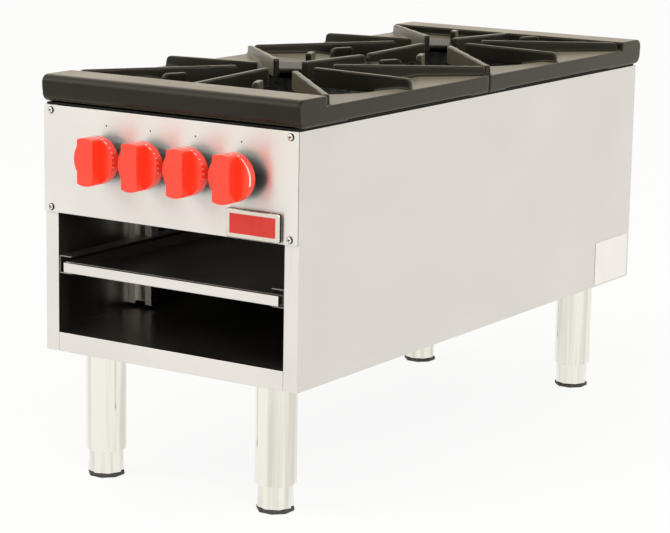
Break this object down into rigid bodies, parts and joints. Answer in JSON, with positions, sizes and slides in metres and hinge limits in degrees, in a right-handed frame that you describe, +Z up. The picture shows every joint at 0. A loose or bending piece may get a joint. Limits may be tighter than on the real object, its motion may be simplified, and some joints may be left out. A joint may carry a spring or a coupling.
{
  "type": "stock pot range",
  "caption": "Stainless floor stock pot range with cast-iron top grates in a row, red control knobs, a sliding drip tray over an open storage bay, and adjustable legs.",
  "frame": {"origin": "on the floor, under the centre of the whole range", "axes": "+Z up, +Y from the control panel to the rear, +X to the right seen from the front"},
  "size_m": [0.457, 1.1029, 0.6153],
  "materials": {
    "brushed_stainless": "brushed stainless sheet",
    "inner_stainless": "dull-polished stainless sheet",
    "polished_stainless": "polished stainless tube and bright trim",
    "galvanised_steel": "galvanised steel",
    "brass": "bare gas brass",
    "cast_iron": "satin cast iron",
    "black_enamel": "black enamel on steel",
    "red_phenolic": "glossy moulded red",
    "white_label": "blank white film",
    "dark_rubber": "dark foot pad"
  },
  "bodies": {
    "cabinet": {"back_panel": "galvanised_steel", "badge_plate": "polished_stainless", "bottom_pan": "inner_stainless", "control_panel": "brushed_stainless", "cross_channel": "galvanised_steel", "data_label": "white_label", "front_burner": "cast_iron", "front_burner_bar_1": "galvanised_steel", "front_burner_bar_2": "galvanised_steel", "front_left_leg_socket": "galvanised_steel", "front_left_leg_tube": "polished_stainless", "front_pilot": "brass", "front_right_leg_socket": "galvanised_steel", "front_right_leg_tube": "polished_stainless", "gas_inlet_pipe": "galvanised_steel", "gas_manifold": "galvanised_steel", "gas_valve_1": "brass", "gas_valve_2": "brass", "gas_valve_3": "brass", "gas_valve_4": "brass", "left_side_panel": "brushed_stainless", "left_tray_runner": "inner_stainless", "left_upright": "inner_stainless", "rear_burner": "cast_iron", "rear_burner_bar_1": "galvanised_steel", "rear_burner_bar_2": "galvanised_steel", "rear_left_leg_socket": "galvanised_steel", "rear_left_leg_tube": "polished_stainless", "rear_orifice_1": "brass", "rear_orifice_2": "brass", "rear_pilot": "brass", "rear_right_leg_socket": "galvanised_steel", "rear_right_leg_tube": "polished_stainless", "rear_supply_tube_1": "brass", "rear_supply_tube_2": "brass", "right_side_panel": "brushed_stainless", "right_tray_runner": "inner_stainless", "right_upright": "inner_stainless", "top_frame": "black_enamel", "valve_heat_shield": "galvanised_steel"},
    "drip_tray": {"drip_tray": "inner_stainless"},
    "front_grate": {"front_grate": "cast_iron"},
    "rear_grate": {"rear_grate": "cast_iron"},
    "knob_1": {"knob_1": "red_phenolic", "valve_stem_1": "brass"},
    "knob_2": {"knob_2": "red_phenolic", "valve_stem_2": "brass"},
    "knob_3": {"knob_3": "red_phenolic", "valve_stem_3": "brass"},
    "knob_4": {"knob_4": "red_phenolic", "valve_stem_4": "brass"},
    "front_left_foot": {"front_left_foot": "polished_stainless", "front_left_foot_pad": "dark_rubber"},
    "front_right_foot": {"front_right_foot": "polished_stainless", "front_right_foot_pad": "dark_rubber"},
    "rear_left_foot": {"rear_left_foot": "polished_stainless", "rear_left_foot_pad": "dark_rubber"},
    "rear_right_foot": {"rear_right_foot": "polished_stainless", "rear_right_foot_pad": "dark_rubber"}
  },
  "joints": [
    {"name": "knob_1_turn", "type": "hinge", "parent": "cabinet", "child": "knob_1", "pos_m": [-0.1098, -0.5015, 0.4963], "axis": [0, -1, 0], "range_deg": [0, 90]},
    {"name": "knob_2_turn", "type": "hinge", "parent": "cabinet", "child": "knob_2", "pos_m": [-0.0298, -0.5015, 0.4963], "axis": [0, -1, 0], "range_deg": [0, 90]},
    {"name": "knob_3_turn", "type": "hinge", "parent": "cabinet", "child": "knob_3", "pos_m": [0.0502, -0.5015, 0.4963], "axis": [0, -1, 0], "range_deg": [0, 90]},
    {"name": "knob_4_turn", "type": "hinge", "parent": "cabinet", "child": "knob_4", "pos_m": [0.1302, -0.5015, 0.4963], "axis": [0, -1, 0], "range_deg": [0, 90]},
    {"name": "drip_tray_slide", "type": "slide", "parent": "cabinet", "child": "drip_tray", "axis": [0, -1, 0], "range_m": [0, 0.45]},
    {"name": "front_grate_lift", "type": "slide", "parent": "cabinet", "child": "front_grate", "axis": [0, 0, 1], "range_m": [0, 0.15]},
    {"name": "rear_grate_lift", "type": "slide", "parent": "cabinet", "child": "rear_grate", "axis": [0, 0, 1], "range_m": [0, 0.15]},
    {"name": "front_left_foot_adjust", "type": "slide", "parent": "cabinet", "child": "front_left_foot", "axis": [0, 0, -1], "range_m": [0, 0.025]},
    {"name": "front_right_foot_adjust", "type": "slide", "parent": "cabinet", "child": "front_right_foot", "axis": [0, 0, -1], "range_m": [0, 0.025]},
    {"name": "rear_left_foot_adjust", "type": "slide", "parent": "cabinet", "child": "rear_left_foot", "axis": [0, 0, -1], "range_m": [0, 0.025]},
    {"name": "rear_right_foot_adjust", "type": "slide", "parent": "cabinet", "child": "rear_right_foot", "axis": [0, 0, -1], "range_m": [0, 0.025]}
  ]
}
